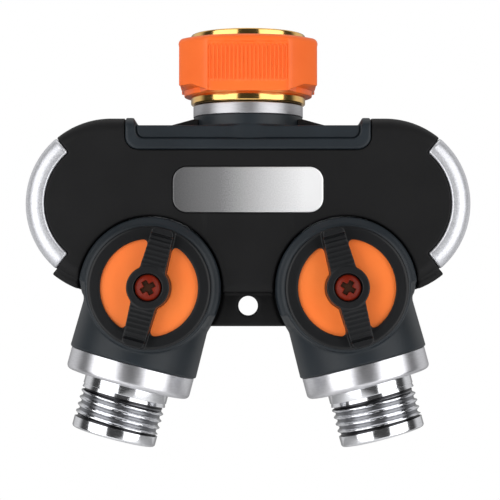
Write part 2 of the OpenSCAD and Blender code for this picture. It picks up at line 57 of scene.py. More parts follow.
# the saddle: the floor of its notch, the groove under its panel and its half width
NOTCH_Z, GROOVE_Z, SADDLE_X = -30.0, -34.2, 38.0
NECK_R = 17.3
PLATE_Z, PLATE_HALF_W, PLATE_HALF_H, PLATE_CORNER = -49.9, 23.15, 7.0, 4.3
SCREW_PLACES = ((-49, -42), (49, -42), (-52, -63.5), (52, -63.5), (0, -72))
SCREW_SEAT_Y, SCREW_BOSS_R = 14.6, 3.6
# the hanging web, and the lugs that carry the outline on below the end trims
WEB_HALF_W, WEB_HALF_DEPTH = 15, 9
WEB_HOLE_Z, WEB_HOLE_R = -85.6, 3.1
LUG_R, LUG_HALF_DEPTH = 28.3, 15.5
LUG_LOW, LUG_HIGH = math.radians(-71.5), math.radians(-50.2)
# the shells' recesses for the pods and sleeves, and the wall that closes them off inside
POD_RECESS_R, SLEEVE_RECESS_R, POD_WALL_R = 22.15, 20.6, 22.4
# the levers: the ring's window and the reach of each arm
WINDOW_R, LEVER_REACH = 14.9, 18.3


# ---------- fields: distance in millimetres, negative inside the solid ----------

def both(a, b, blend=0.0):
    """What lies in both solids, with the edge between them rounded over by blend."""
    if not blend:
        return np.maximum(a, b)
    near = np.maximum(blend - np.abs(a - b), 0) / blend
    return np.maximum(a, b) + near * near * blend / 4


def either(a, b, blend=0.0):
    """What lies in one solid or the other."""
    return -both(-a, -b, blend)


def without(a, b, blend=0.0):
    """The first solid with the second cut away."""
    return both(a, -b, blend)


def between(v, low, high):
    """The slab of values from low to high."""
    return np.abs(v - (low + high) / 2) - (high - low) / 2


def thick(flat, depth, rounding):
    """A flat outline given depth, with its two rims rounded."""
    a, b = flat + rounding, depth + rounding
    outside = np.hypot(np.maximum(a, 0), np.maximum(b, 0))
    return outside + np.minimum(np.maximum(a, b), 0) - rounding


def rounded_rect(u, v, half_u, half_v, corner):
    """A rectangle with round corners, centred on the origin."""
    a, b = np.abs(u) - half_u + corner, np.abs(v) - half_v + corner
    return np.hypot(np.maximum(a, 0), np.maximum(b, 0)) + np.minimum(np.maximum(a, b), 0) - corner


def surface_net(field, low, high, step):
    """Points and quads of the closed surface where field(x, y, z) is zero.

    The box is split into blocks. Only blocks near the surface are sampled finely. Each
    cell that the surface crosses gets one point, which is then moved onto the surface.
    """
    block = 8
    low, high = np.array(low, float) - 1.5 * step, np.array(high, float) + 1.5 * step
    blocks = np.ceil((high - low) / (step * block)).astype(int)
    counts = blocks * block
    centres = [low[i] + step * (block * (np.arange(blocks[i]) + 0.5) - 0.5) for i in range(3)]
    coarse = field(*np.meshgrid(*centres, indexing="ij"))
    near = np.abs(coarse) < step * block * 0.5 * math.sqrt(3) * 1.3
    values = np.where(coarse < 0, -1.0, 1.0)[:, None, :, None, :, None] * np.ones(
        (1, block, 1, block, 1, block)
    )
    where = np.argwhere(near)
    offsets = step * np.arange(block)
    corners = low + where * block * step
    shape = (len(where), block, block, block)
    x = np.broadcast_to((corners[:, 0, None] + offsets)[:, :, None, None], shape)
    y = np.broadcast_to((corners[:, 1, None] + offsets)[:, None, :, None], shape)
    z = np.broadcast_to((corners[:, 2, None] + offsets)[:, None, None, :], shape)
    i, j, k = where.T
    values[i, :, j, :, k, :] = field(x, y, z)
    values = values.reshape(counts)
    inside = values < 0
    cells = tuple(counts - 1)
    filled = np.zeros(cells, np.uint8)
    steps = [(a, b, c) for a in (0, 1) for b in (0, 1) for c in (0, 1)]

    def corner(grid, s):
        return grid[tuple(slice(s[n], s[n] + cells[n]) for n in range(3))]

    for s in steps:
        filled += corner(inside, s)
    active = (filled > 0) & (filled < 8)
    number = np.full(cells, -1, np.int64)
    number[active] = np.arange(active.sum())
    where = np.argwhere(active)
    total, hits = np.zeros((len(where), 3)), np.zeros(len(where))
    for s in steps:
        for axis in range(3):
            if s[axis]:
                continue
            t = list(s)
            t[axis] = 1
            a, b = corner(values, s)[active], corner(values, tuple(t))[active]
            crossed = (a < 0) != (b < 0)
            share = np.where(crossed, a / np.where(crossed, a - b, 1), 0)
            point = np.array(s, float) + share[:, None] * (np.arange(3) == axis)
            total += point * crossed[:, None]
            hits += crossed
    points = low + step * (where + total / hits[:, None])
    quads = []
    for axis in range(3):
        u, v = (axis + 1) % 3, (axis + 2) % 3
        first = [slice(1, n - 1) for n in counts]
        first[axis] = slice(0, counts[axis] - 1)
        second = list(first)
        second[axis] = slice(1, counts[axis])
        a, b = inside[tuple(first)], inside[tuple(second)]
        edge = np.argwhere(a != b) + 1
        edge[:, axis] -= 1
        ring = []
        for du, dv in ((-1, -1), (0, -1), (0, 0), (-1, 0)):
            cell = edge.copy()
            cell[:, u] += du
            cell[:, v] += dv
            ring.append(number[tuple(cell.T)])
        ring = np.stack(ring, axis=1)
        outwards = inside[tuple(edge.T)]
        quads.append(np.where(outwards[:, None], ring, ring[:, ::-1]))
    return settle(points, field, step), np.concatenate(quads)


def settle(points, field, step):
    """Moves points near a field's surface onto it."""
    h = step * 0.1
    for _ in range(3):
        x, y, z = points.T
        value = field(x, y, z)
        slope = np.stack([
            field(x + h, y, z) - field(x - h, y, z),
            field(x, y + h, z) - field(x, y - h, z),
            field(x, y, z + h) - field(x, y, z - h),
        ], axis=1) / (2 * h)
        move = (value / np.maximum((slope ** 2).sum(1), 0.25))[:, None] * slope
        length = np.linalg.norm(move, axis=1)[:, None]
        points = points - move * np.minimum(1, 0.5 * step / np.maximum(length, 1e-9))
    return points


# ---------- meshes ----------

def new_piece(name, points, faces, material, body, replaced=(), sharp=None):
    """A piece from points in millimetres. It rides on body and stands for CAD nodes."""
    points, faces = np.asarray(points, float), np.asarray(faces)
    a, b, c, d = (points[faces[:, i]] for i in (0, 1, 2, -1))
    volume = (a * np.cross(b, c)).sum() + (a * np.cross(c, d)).sum()
    if volume < 0:
        faces = faces[:, ::-1]
    mesh = bpy.data.meshes.new(name)
    mesh.from_pydata((points * MM).tolist(), [], faces.tolist())
    mesh.validate()
    piece = bpy.data.objects.new(name, mesh)
    bpy.context.scene.collection.objects.link(piece)
    mesh.materials.append(material)
    mesh.shade_smooth()
    if sharp is not None:
        mesh.set_sharp_from_angle(angle=math.radians(sharp))
    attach(piece, body)
    if replaced:
        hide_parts(*replaced)
    return piece


def field_piece(name, field, low, high, step, material, body, replaced=()):
    """A piece whose surface is a field's, sampled between two corners."""
    points, quads = surface_net(field, low, high, step)
    return new_piece(name, points, quads, material, body, replaced)


def valve_place(side):
    """Takes points from a valve's own axes to the frame's.

    In its own axes X is across the outlet, Y runs up it and Z comes out to the front.
    """
    right = np.array([math.cos(SPLAY), 0, side * math.sin(SPLAY)])
    up = np.array([-side * math.sin(SPLAY), 0, math.cos(SPLAY)])
    front = np.array([0, -1, 0])
    hub = np.array([side * HUB_X, 0, HUB_Z])
    return lambda points: hub + points @ np.stack([right, up, front])


def valve_axes(side, x, y, z):
    """The frame's coordinates in a valve's own axes."""
    dx, dz = x - side * HUB_X, z - HUB_Z
    across = dx * math.cos(SPLAY) + dz * side * math.sin(SPLAY)
    along = dz * math.cos(SPLAY) - dx * side * math.sin(SPLAY)
    return across, along, -y


def outlet_place(side):
    """Takes points turned about Z, with -Z down the outlet, to the frame's axes."""
    c, s = math.cos(SPLAY), side * math.sin(SPLAY)
    turn = np.array([[c, 0, s], [0, 1, 0], [-s, 0, c]])
    return lambda points: np.array([side * HUB_X, 0, HUB_Z]) + points @ turn


def soften(profile, radii, steps=5):
    """A profile's corners rounded: radii holds one radius for each point, 0 for sharp."""
    done = []
    n = len(profile)
    for i, (point, r) in enumerate(zip(profile, radii)):
        p = np.array(point, float)
        if r <= 0:
            done.append(p)
            continue
        a = np.array(profile[i - 1], float) - p
        b = np.array(profile[(i + 1) % n], float) - p
        la, lb = np.linalg.norm(a), np.linalg.norm(b)
        a, b = a / la, b / lb
        half = math.acos(float(np.clip(a @ b, -1, 1))) / 2
        reach = min(r / math.tan(half), 0.49 * la, 0.49 * lb)
        r = reach * math.tan(half)
        middle = p + (a + b) / np.linalg.norm(a + b) * r / math.sin(half)
        start, end = p + a * reach - middle, p + b * reach - middle
        angle = math.acos(float(np.clip(start @ end / (r * r), -1, 1)))
        for k in range(steps + 1):
            t = k / steps
            done.append(
                middle
                + (math.sin((1 - t) * angle) * start + math.sin(t * angle) * end)
                / math.sin(angle)
            )
    return np.array(done)


def lathe(profile, segments):
    """A closed ring of a solid: a closed profile of (radius, height) turned about Z."""
    profile = np.asarray(profile)
    n = len(profile)
    angles = np.linspace(0, 2 * math.pi, segments, endpoint=False)
    points = np.stack([
        np.outer(np.cos(angles), profile[:, 0]),
        np.outer(np.sin(angles), profile[:, 0]),
        np.broadcast_to(profile[:, 1], (segments, n)),
    ], axis=2).reshape(-1, 3)
    return points, ring_quads(segments, n)


def ring_quads(rows, columns):
    """Quads of a grid that closes on itself both ways."""
    i, j = np.meshgrid(np.arange(rows), np.arange(columns), indexing="ij")
    a = i * columns + j
    b = i * columns + (j + 1) % columns
    c = (i + 1) % rows * columns + (j + 1) % columns
    d = (i + 1) % rows * columns + j
    return np.stack([a, b, c, d], axis=2).reshape(-1, 4)


# ---------- materials ----------

class Nodes:
    """A short way to build one material's nodes."""

    def __init__(self, name):
        self.material = bpy.data.materials.new(name)
        self.material.use_nodes = True
        self.tree = self.material.node_tree
        self.shader = self.tree.nodes["Principled BSDF"]

    def add(self, kind, **settings):
        node = self.tree.nodes.new(kind)
        for key, value in settings.items():
            if key in node.inputs:
                node.inputs[key].default_value = value
            else:
                setattr(node, key, value)
        return node

    def join(self, source, output, target, socket):
        self.tree.links.new(source.outputs[output], target.inputs[socket])

    def noise(self, scale, detail=4, roughness=0.5, stretch=None):
        place = self.add("ShaderNodeTexCoord")
        node = self.add("ShaderNodeTexNoise", Scale=scale, Detail=detail, Roughness=roughness)
        if stretch:
            mapping = self.add("ShaderNodeMapping")
            mapping.inputs["Scale"].default_value = stretch
            self.join(place, "Object", mapping, "Vector")
            self.join(mapping, "Vector", node, "Vector")
        else:
            self.join(place, "Object", node, "Vector")
        return node

    def colours(self, source, dark, light, low=0.3, high=0.7):
        ramp = self.add("ShaderNodeValToRGB")
        ramp.color_ramp.elements[0].position = low
        ramp.color_ramp.elements[1].position = high
        ramp.color_ramp.elements[0].color = (*dark, 1)
        ramp.color_ramp.elements[1].color = (*light, 1)
        self.join(source, 0, ramp, "Fac")
        self.join(ramp, "Color", self.shader, "Base Color")

    def roughness(self, source, low, high):
        span = self.add("ShaderNodeMapRange")
        span.inputs["To Min"].default_value = low
        span.inputs["To Max"].default_value = high
        self.join(source, 0, span, "Value")
        self.join(span, "Result", self.shader, "Roughness")

    def bump(self, source, height_mm):
        node = self.add("ShaderNodeBump", Strength=1.0, Distance=height_mm * MM)
        self.join(source, 0, node, "Height")
        self.join(node, "Normal", self.shader, "Normal")


def linear(r, g, b):
    """A screen colour, 0 to 255, as a linear colour."""
    return tuple(((c / 255 + 0.055) / 1.055) ** 2.4 if c > 10 else c / 255 / 12.92
                 for c in (r, g, b))


def moulded(name, dark, light, rough, grain_mm, grain_height, specular=0.5):
    """Moulded plastic or rubber with a fine even texture."""
    n = Nodes(name)
    n.shader.inputs["Specular IOR Level"].default_value = specular
    broad = n.noise(60, 3)
    n.colours(broad, dark, light)
    grain = n.noise(1000 / grain_mm, 2, 0.6)
    n.roughness(broad, rough[0], rough[1])
    n.bump(grain, grain_height)
    return n.material


def metal(name, dark, light, rough, stretch=None, scale=400, height=0.004):
    """Metal with fine marks, drawn out along one direction by stretch."""
    n = Nodes(name)
    n.shader.inputs["Metallic"].default_value = 1
    marks = n.noise(scale, 5, 0.6, stretch)
    n.colours(marks, dark, light)
    n.roughness(marks, rough[0], rough[1])
    n.bump(marks, height)
    return n.material


def flake_paint(name, dark, light):
    """Satin metallic paint: a fine flake that varies both tone and slope."""
    n = Nodes(name)
    n.shader.inputs["Metallic"].default_value = 0.75
    n.shader.inputs["Coat Weight"].default_value = 0.25
    n.shader.inputs["Coat Roughness"].default_value = 0.25
    flake = n.noise(2600, 2, 0.7)
    n.colours(flake, dark, light, 0.35, 0.65)
    n.roughness(flake, 0.34, 0.46)
    n.bump(flake, 0.01)
    return n.material


def blasted_plate(name):
    """Bead-blasted aluminium with a painted reflection that leaves it a little duller towards its
    left end.
    """
    n = Nodes(name)
    n.shader.inputs["Metallic"].default_value = 0.4
    place = n.add("ShaderNodeTexCoord")
    parts = n.add("ShaderNodeSeparateXYZ")
    n.join(place, "Object", parts, 0)
    # painted reflection: a ramp along X, dark at the left end and bright at the right
    along = n.add("ShaderNodeMapRange")
    along.inputs["From Min"].default_value = -0.0225
    along.inputs["From Max"].default_value = 0.0225
    n.join(parts, "X", along, "Value")
    grain = n.noise(2400, 2, 0.7)
    grain_and_painted_reflection = n.add("ShaderNodeMath", operation="MULTIPLY_ADD")
    grain_and_painted_reflection.inputs[1].default_value = 0.22
    n.join(grain, 0, grain_and_painted_reflection, 0)
    n.join(along, "Result", grain_and_painted_reflection, 2)
    ramp = n.add("ShaderNodeValToRGB")
    marks = ramp.color_ramp.elements
    marks[0].position, marks[0].color = 0.05, (*linear(84, 84, 85), 1)
    marks[1].position, marks[1].color = 1, (*linear(252, 252, 253), 1)
    marks.new(0.42).color = (*linear(132, 132, 133), 1)
    n.join(grain_and_painted_reflection, 0, ramp, "Fac")
    n.join(ramp, "Color", n.shader, "Base Color")
    n.roughness(grain, 0.3, 0.42)
    n.bump(grain, 0.008)
    return n.material


BLACK = moulded("black_plastic", linear(14, 14, 15), linear(18, 18, 19), (0.5, 0.6), 0.35, 0.02,
                specular=0.2)
SLATE = moulded("slate_rubber", linear(23, 29, 34), linear(28, 35, 41), (0.4, 0.48), 0.3, 0.012,
                specular=0.34)
ORANGE = moulded("orange_plastic", linear(238, 104, 38), linear(243, 111, 43),
                 (0.36, 0.44), 0.4, 0.01, specular=0.3)
# painted light: a brighter copy of the orange plastic, making up for the shade that the ring and
# lever cast on the dial
DIAL_ORANGE_PAINTED_LIGHT = moulded("dial_plastic", linear(255, 124, 50), linear(255, 131, 56),
                      (0.3, 0.38), 0.4, 0.008, specular=0.45)
KNOB_BLACK = moulded("lever_plastic", linear(13, 14, 16), linear(17, 18, 20), (0.36, 0.44),
                     0.3, 0.01, specular=0.3)
PLATE = blasted_plate("blasted_plate")
# painted shade: dark brown for the inside of the red screws' cross recess, where shade falls
RECESS = moulded("screw_recess", linear(40, 20, 9), linear(54, 28, 12), (0.45, 0.55), 0.3, 0.006,
                 specular=0.15)
RUBBER = moulded("black_rubber", linear(24, 24, 24), linear(30, 30, 30), (0.6, 0.7), 0.3, 0.01)
WHITE = moulded("white_plastic", linear(232, 230, 222), linear(240, 238, 232), (0.35, 0.45),
                0.5, 0.005)
RED = moulded("red_screw_finish", linear(92, 18, 5), linear(116, 28, 8), (0.34, 0.42), 0.3, 0.006,
              specular=0.2)
BRASS = metal("polished_brass", linear(232, 184, 106), linear(244, 200, 124), (0.1, 0.16),
              (1, 1, 12))
SATIN = metal("satin_aluminium", linear(176, 176, 179), linear(192, 192, 195), (0.38, 0.46),
              (1, 1, 10))
TURNED = metal("turned_aluminium", linear(214, 215, 219), linear(232, 233, 236), (0.1, 0.16),
               (1, 1, 14))
# painted shade: dark metal for the thread's run-out grooves and darker metal for its roots, where
# shade falls
RELIEF_PAINTED_SHADE = metal("thread_relief", linear(52, 52, 54), linear(66, 66, 69), (0.25, 0.35), (1, 1, 14))
ROOT_PAINTED_SHADE = metal("thread_root", linear(122, 123, 127), linear(138, 139, 143), (0.25, 0.35), (1, 1, 14))
COLLAR = metal("faced_aluminium", linear(206, 206, 210), linear(224, 224, 228), (0.26, 0.34),
               (1, 1, 14))
STEEL = metal("zinc_steel", linear(150, 152, 156), linear(186, 188, 192), (0.25, 0.35))
CAST = metal("cast_alloy", linear(142, 144, 147), linear(170, 172, 175), (0.45, 0.6),
             scale=900, height=0.03)
PLATED = metal("plated_ball", linear(196, 197, 200), linear(214, 215, 217), (0.06, 0.12))
SILVER = flake_paint("silver_paint", linear(196, 197, 202), linear(226, 227, 231))
KEPT = {
    "manifold": CAST, "nut_retaining_ring": STEEL, "inlet_washer": RUBBER,
    "fitting_o_ring": RUBBER, "upstream_seat": WHITE, "downstream_seat": WHITE,
    "valve_ball": PLATED, "valve_stem": BRASS, "stem_o_rings": RUBBER, "stem_washer": WHITE,
}


def dress_kept_nodes():
    """Materials for the CAD pieces that stay as they are, nearly all inside."""
    for name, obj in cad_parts.items():
        plain = name.replace("left_", "").replace("right_", "")
        if plain in KEPT:
            obj.data.materials.clear()
            obj.data.materials.append(KEPT[plain])


# ---------- housing ----------

def outline(x, z):
    """The housing's front outline: a bar with two round ends."""
    return np.hypot(np.maximum(np.abs(x) - END_X, 0), z - HOUSING_Z) - END_R


def about_end(x, z):
    """Radius and angle about the nearer round end, the angle measured from straight out."""
    dx, dz = np.abs(x) - END_X, z - HOUSING_Z
    return np.hypot(dx, dz), np.arctan2(dz, dx)


def sector(x, z, low, high):
    """Negative between two angles about the nearer round end."""
    r, a = about_end(x, z)
    return (np.abs(a - (low + high) / 2) - (high - low) / 2) * np.clip(r, 5, 40)


def housing_solid(x, y, z):
    """The housing as a solid block: the bar, its lip in the middle, the web and the lugs."""
    body = thick(outline(x, z), np.abs(y) - HALF_DEPTH, FILLET)
    lip = thick(rounded_rect(x, z + 66, WEB_HALF_W, 15.5, 3), np.abs(y) - HALF_DEPTH, 3)
    web = thick(rounded_rect(x, z + 76, WEB_HALF_W, 16, 0.8), np.abs(y) - WEB_HALF_DEPTH, 0.8)
    r, _ = about_end(x, z)
    lug = both(r - LUG_R, sector(x, z, LUG_LOW, LUG_HIGH), 0.6)
    lug = thick(lug, np.abs(y) - LUG_HALF_DEPTH, 1.5)
    body = either(body, lip, 1.0)
    body = either(body, web, 1.2)
    return either(body, lug, 0.4)


def shell_field(x, y, z, facing):
    """One shell: facing is -1 for the front and 1 for the rear."""
    r, _ = about_end(x, z)
    solid = housing_solid(x, y, z)
    for side in (LEFT, RIGHT):
        across, along, front = valve_axes(side, x, y, z)
        from_stem = np.hypot(across, along)
        step_in = 0.9 * np.clip((8.5 - np.abs(y)) / 0.4, 0, 1)
        pod = both(from_stem - POD_RECESS_R + step_in, -(along + 8.8), 0.4)
        pod = either(pod, from_stem - 20.2 + step_in)
        sleeve = both(np.hypot(across, front) - SLEEVE_RECESS_R, along)
        solid = without(solid, pod, 0.9)
        solid = without(solid, sleeve, 0.5)
    trim = both(TRIM_INNER_R - 0.15 - r, sector(x, z, -TRIM_ANGLE - 0.005, TRIM_ANGLE + 0.005))
    tongue = both(r - 23.85, np.abs(y) - 14.95)
    solid = without(solid, without(trim, tongue), 0.5)
    saddle = thick(rounded_rect(x, z + 20, SADDLE_X + 0.08, 17.6, 4.4), np.abs(y) - 30, 0)
    tongue = both(np.abs(y) - 16.15, z + 31.95)
    solid = without(solid, without(saddle, tongue), 0.15)
    solid = without(solid, both(np.hypot(x, y) - 14.2, -42 - z))
    plate = rounded_rect(x, z - PLATE_Z, PLATE_HALF_W + 0.15, PLATE_HALF_H + 0.15, PLATE_CORNER + 0.1)
    solid = without(solid, both(plate, y + 16.9), 0.25)
    bar = both(np.abs(x) - END_X, between(z, HOUSING_Z - END_R + WALL, CAVITY_TOP))
    cavity = both(either(bar, r - END_CAVITY_R), np.abs(y) - HALF_DEPTH + WALL, 1)
    solid = without(solid, cavity)
    inside = housing_solid(x, y, z) + 1
    for side in (LEFT, RIGHT):
        across, along, _ = valve_axes(side, x, y, z)
        wall = np.abs(np.hypot(across, along) - POD_WALL_R) - 1.1
        wall = both(both(wall, np.abs(y) - 8.4), -(along + 8))
        solid = either(solid, both(wall, inside))
    for px, pz in SCREW_PLACES:
        d = np.hypot(x - px, z - pz)
        solid = either(solid, both(d - SCREW_BOSS_R, np.abs(y) - 16.3))
        solid = without(solid, both(d - 1.5, -(y + 11)))
        solid = without(solid, both(d - 3.0, SCREW_SEAT_Y - y), 0.3)
    solid = without(solid, np.hypot(x, z - WEB_HOLE_Z) - WEB_HOLE_R, 0.8)
    return both(solid, 0.04 - facing * y, 0.5)


def make_shells():
    """Front and rear shells, each out to the middle plane."""
    for name, facing in (("front_shell", -1), ("rear_shell", 1)):
        low = (-71.5, -18 if facing < 0 else -0.5, -93)
        high = (71.5, 0.5 if facing < 0 else 18, -26.5)
        field_piece(name + "_skin", lambda x, y, z, f=facing: shell_field(x, y, z, f),
                    low, high, 0.4, BLACK, "splitter_body", [name])


def trim_field(x, y, z):
    """Both end trims: rounded arcs on the housing's ends, rebated behind their inner edge."""
    r, _ = about_end(x, z)
    band = thick(r - END_R, np.abs(y) - 17.9, FILLET)
    band = both(band, TRIM_INNER_R - r, 0.8)
    band = both(band, sector(x, z, -TRIM_ANGLE, TRIM_ANGLE), 0.7)
    return without(band, both(r - 24, np.abs(y) - 15.1))


def make_trims():
    for side in (LEFT, RIGHT):
        name = SIDE_NAME[side] + "_end_trim"
        left, right = sorted((side * 55, side * 70.5))
        low, high = (left, -18.2, -75), (right, 18.2, -32)
        field_piece(name + "_skin", trim_field, low, high, 0.33, SILVER, "splitter_body", [name])


def saddle_field(x, y, z):
    """Neck, lowered panel and raised U-shaped rim, hollow underneath."""
    depth = np.abs(y) - HALF_DEPTH - 0.8
    top = thick(rounded_rect(y, z + 45.5, HALF_DEPTH + 0.8, 18, FILLET), np.abs(x) - SADDLE_X, 0.8)
    front = thick(rounded_rect(x, z + 20, SADDLE_X, 17.5, 4.4), depth, 1.1)
    rim = both(top, front, 0.6)
    panel = rounded_rect(x, z + 19.2, SADDLE_X - 3.4, -GROOVE_Z - 19.2, 2.6)
    lean = 0.25 * np.clip(z - NOTCH_Z, 0, 3)
    rim = without(rim, both(np.abs(x) - SADDLE_X + 3.4 - lean, NOTCH_Z - z, 1.2), 0.5)
    rim = without(rim, both(panel, HALF_DEPTH - 0.3 - np.abs(y)), 0.5)
    groove = np.hypot(panel, np.abs(y) - HALF_DEPTH + 0.3) - 0.42
    rim = without(rim, groove, 0.3)
    neck = both(np.hypot(x, y) - NECK_R, between(z, -34, -26.2), 0.4)
    solid = either(rim, neck, 0.8)
    solid = without(solid, both(np.abs(y) - 16.3, z + 31.8))
    return without(solid, np.hypot(x, y) - 14.15)


def shoulder_field(x, y, z):
    """Black wedges that slope down from the neck on both sides."""
    slope = z + 29.9 - np.clip((26.8 - np.abs(x)) / 9.5, 0, 1) * 2.6
    wedge = both(both(slope, np.abs(x) - 27.4, 0.3), np.abs(y) - 8, 0.6)
    return without(both(wedge, -31.4 - z), np.hypot(x, y) - NECK_R - 0.02)


def make_saddle():
    field_piece("top_saddle_skin", saddle_field, (-38.5, -18.5, -37.8), (38.5, 18.5, -25.8),
                0.3, SLATE, "splitter_body", ["top_saddle"])
    shoulders = field_piece("neck_shoulders", shoulder_field, (-28, -8.5, -31.8),
                            (28, 8.5, -26.6), 0.25, BLACK, "splitter_body")


def make_name_plate():
    """A blank plate with round corners, set into the front shell."""
    def field(x, y, z):
        flat = rounded_rect(x, z - PLATE_Z, PLATE_HALF_W, PLATE_HALF_H, PLATE_CORNER)
        return thick(flat, between(y, -17.9, -16.9), 0.3)
    field_piece("name_plate_skin", field, (-24, -18, -57), (24, -16.8, -42), 0.2,
                PLATE, "splitter_body", ["name_plate"])


def screw_head(r, depth, cross_half, cross_width):
    """Field of a domed head at the origin with a cross recess, opening towards +Z."""
    def field(x, y, z):
        d = np.hypot(x, y)
        dome = np.sqrt(d * d + (z + 1.6 * r) ** 2) - 1.6 * r - depth
        head = both(both(d - r, dome, 0.4), -z)
        taper = cross_width + 0.18 * z
        cross = either(both(np.abs(x) - cross_half - 0.25 * z, np.abs(y) - taper),
                       both(np.abs(y) - cross_half - 0.25 * z, np.abs(x) - taper), 0.25)
        return without(head, both(cross, 0.2 * depth - z), 0.12)
    return field


def make_housing_screws():
    """Five screws from the back, as one piece."""
    head, quads = surface_net(screw_head(2.7, 1.9, 1.1, 0.35), (-2.8, -2.8, -0.1),
                              (2.8, 2.8, 2.1), 0.12)
    shank, shank_quads = lathe([(0.4, 0.2), (1.4, 0.2), (1.4, -24), (0.9, -25.6), (0.4, -25.6)], 24)
    points, faces, count = [], [], 0
    for px, pz in SCREW_PLACES:
        for part, part_quads in ((head, quads), (shank, shank_quads)):
            moved = np.stack([px + part[:, 0], SCREW_SEAT_Y + part[:, 2], pz - part[:, 1]], axis=1)
            points.append(moved)
            faces.append(part_quads + count)
            count += len(part)
    new_piece("housing_screws_skin", np.concatenate(points), np.concatenate(faces), STEEL,
              "splitter_body", ["housing_screws"])


# ---------- inlet ----------

def make_collar_ring():
    """Plain ring between the nut and the neck."""
    profile = soften([(10.8, -26.2), (17.35, -26.2), (17.35, -22.6), (10.8, -22.6)],
                     [0.1, 0.25, 0.35, 0.1])
    points, quads = lathe(profile, 160)
    new_piece("inlet_collar_skin", points, quads[:, ::-1], SATIN, "splitter_body",
              ["inlet_collar"], sharp=40)


def thread_wave(phase):
    """Height of a thread's flank from crest (0) to root (1) over one turn of phase."""
    return np.clip((np.abs((phase % 1) - 0.5) * -2 + 0.86) / 0.58, 0, 1)


def make_nut():
    """Brass nut: rims outside, helical hose thread and washer seat inside."""
    outer = soften([(10.81, -22.3), (18.1, -22.3), (18.1, -19.65), (17.25, -19.65),
                    (17.25, -2.65), (18.1, -2.65), (18.1, 0), (13.4, 0)],
                   [0.3, 0.6, 0.1, 0, 0, 0.1, 0.6, 0.5])
    heights = np.linspace(-0.9, -12.0, 112)
    bore = np.stack([np.full_like(heights, 12.3), heights], axis=1)
    seat = np.array([(13.6, -12.2), (13.6, -15.6), (12.6, -15.6), (12.6, -18.2), (10.81, -18.2)])
    profile = np.concatenate([outer, bore, seat])
    segments = 180
    points, quads = lathe(profile, segments)
    column = np.tile(np.arange(len(profile)), segments)
    cut = (column >= len(outer)) & (column < len(outer) + len(bore))
    turn = np.repeat(np.arange(segments) / segments, len(profile))
    ends = np.clip((-0.7 - points[:, 2]) / 0.9, 0, 1) * np.clip((points[:, 2] + 12.2) / 0.6, 0, 1)
    depth = np.where(cut, 1.3 * thread_wave(points[:, 2] / PITCH + turn) * ends, 0)
    depth += np.where(cut, np.clip(0.9 + 0.8 + points[:, 2], 0, 0.8), 0)
    scale = (np.hypot(points[:, 0], points[:, 1]) + depth) / np.hypot(points[:, 0], points[:, 1])
    points[:, :2] *= scale[:, None]
    new_piece("swivel_nut_skin", points, quads[:, ::-1], BRASS, "inlet_swivel",
              ["swivel_nut"], sharp=35)


# the grip: its flats' distance, its flats' half width and the distance of its diagonal corners
GRIP_FLAT, GRIP_EDGE, GRIP_DIAGONAL = 21.7, 12.7, 24.95
GRIP_TOP, GRIP_BOTTOM = -1.95, -19.65
PANEL_DEPTH, RIB_HEIGHT, RIB_PITCH, RIBS_HALF_W = 0.7, 0.56, 1.25, 12.2


def grip_radius(angle):
    """Radius of the twelve-sided grip's outline, its creases softly rounded."""
    diagonal = GRIP_DIAGONAL * math.sqrt(0.5)
    run = np.array([diagonal - GRIP_EDGE, diagonal - GRIP_FLAT])
    normal = np.array([-run[1], run[0]]) / np.linalg.norm(run)
    distance = normal @ (GRIP_EDGE, GRIP_FLAT)
    lean = math.atan2(normal[0], normal[1])
    total = np.zeros_like(angle)
    sharpness = 60
    for quarter in range(4):
        base = quarter * math.pi / 2
        for direction, reach in ((base, GRIP_FLAT), (base + lean, distance), (base - lean, distance)):
            total += (np.maximum(np.cos(angle - direction), 0.05) / reach) ** sharpness
    return total ** (-1 / sharpness)


